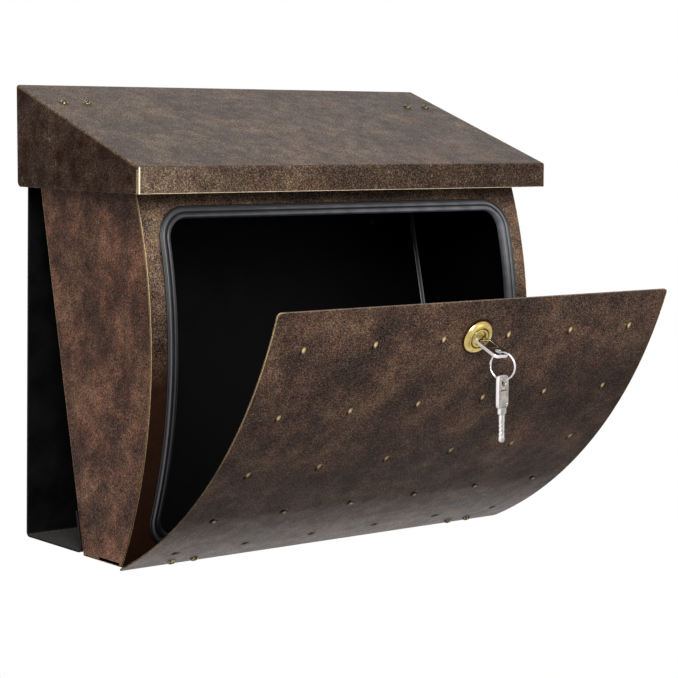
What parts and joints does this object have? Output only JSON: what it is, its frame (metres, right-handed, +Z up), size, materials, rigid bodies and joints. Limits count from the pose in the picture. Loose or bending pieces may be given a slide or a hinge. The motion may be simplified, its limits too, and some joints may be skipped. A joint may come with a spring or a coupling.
{
  "type": "wall mounted mailbox",
  "caption": "Wall mounted mailbox with a hinged sloping hood over a mail slot, a bowed front door with a cam lock and keys, and a newspaper space behind the body.",
  "frame": {"origin": "middle of the four wall screw holes, on the wall face", "axes": "+Z up, +Y into the wall, +X to the right of someone facing the mailbox; the front faces -Y"},
  "size_m": [0.4, 0.3464, 0.3551],
  "materials": {
    "bronze_coat": "antique copper-bronze powder coat, satin with fine mottling",
    "black_coat": "black powder coat, matt",
    "inner_coat": "dark powder coat, matt",
    "seal_rubber": "grey edge rubber, matt",
    "brass_screw": "antique brass plated",
    "zinc": "zinc plated",
    "lock_brass": "polished brass",
    "key_nickel": "nickel plated"
  },
  "bodies": {
    "body": {"wall_bracket": "black_coat", "body_left_side": "bronze_coat", "body_right_side": "bronze_coat", "body_back": "inner_coat", "body_bottom": "bronze_coat", "front_frame": "bronze_coat", "inlet_deck": "inner_coat", "door_seal": "seal_rubber", "hood_hinge_left_deck_leaf": "zinc", "hood_hinge_left_pin": "zinc", "door_hinge_left_frame_leaf": "zinc", "door_hinge_left_pin": "zinc", "hood_hinge_right_deck_leaf": "zinc", "hood_hinge_right_pin": "zinc", "door_hinge_right_frame_leaf": "zinc", "door_hinge_right_pin": "zinc", "deck_rivets": "zinc", "frame_rivets": "zinc", "body_screws": "zinc", "body_nuts": "zinc"},
    "hood": {"hood": "bronze_coat", "hood_hinge_left_hood_leaf": "zinc", "hood_hinge_right_hood_leaf": "zinc", "hood_screws": "brass_screw", "hood_nuts": "zinc"},
    "door": {"door_panel": "bronze_coat", "door_hinge_left_door_leaf": "zinc", "door_hinge_right_door_leaf": "zinc", "door_screws": "brass_screw", "lock_housing": "lock_brass", "lock_nut": "lock_brass"},
    "lock_plug": {"lock_plug": "lock_brass", "lock_cam": "zinc", "cam_screw": "zinc", "inserted_key": "key_nickel"},
    "key_ring": {"key_ring": "key_nickel"},
    "hanging_key": {"hanging_key": "key_nickel"}
  },
  "joints": [
    {"name": "hood_hinge", "type": "hinge", "parent": "body", "child": "hood", "pos_m": [0, -0.0087, 0.17269], "axis": [-1, 0, 0], "range_deg": [0, 75]},
    {"name": "door_hinge", "type": "hinge", "parent": "body", "child": "door", "pos_m": [0, -0.13798, -0.16997], "axis": [1, 0, 0], "range_deg": [-39.1, 0]},
    {"name": "lock_turn", "type": "hinge", "parent": "door", "child": "lock_plug", "pos_m": [0, -0.31033, 0.00009], "axis": [0, 0.9117, 0.4108], "range_deg": [0, 90]},
    {"name": "ring_turn", "type": "hinge", "parent": "door", "child": "key_ring", "pos_m": [-0.00026, -0.33197, -0.01873], "axis": [0, 0, 1], "range_deg": [0, 90]},
    {"name": "hanging_key_slide", "type": "hinge", "parent": "key_ring", "child": "hanging_key", "pos_m": [0.00052, -0.33633, -0.01873], "axis": [0.9532, 0.3024, 0], "range_deg": [-10, 45]}
  ],
  "couplings": [
    {"joint": "ring_turn", "follows": "lock_turn", "ratio": 1}
  ]
}
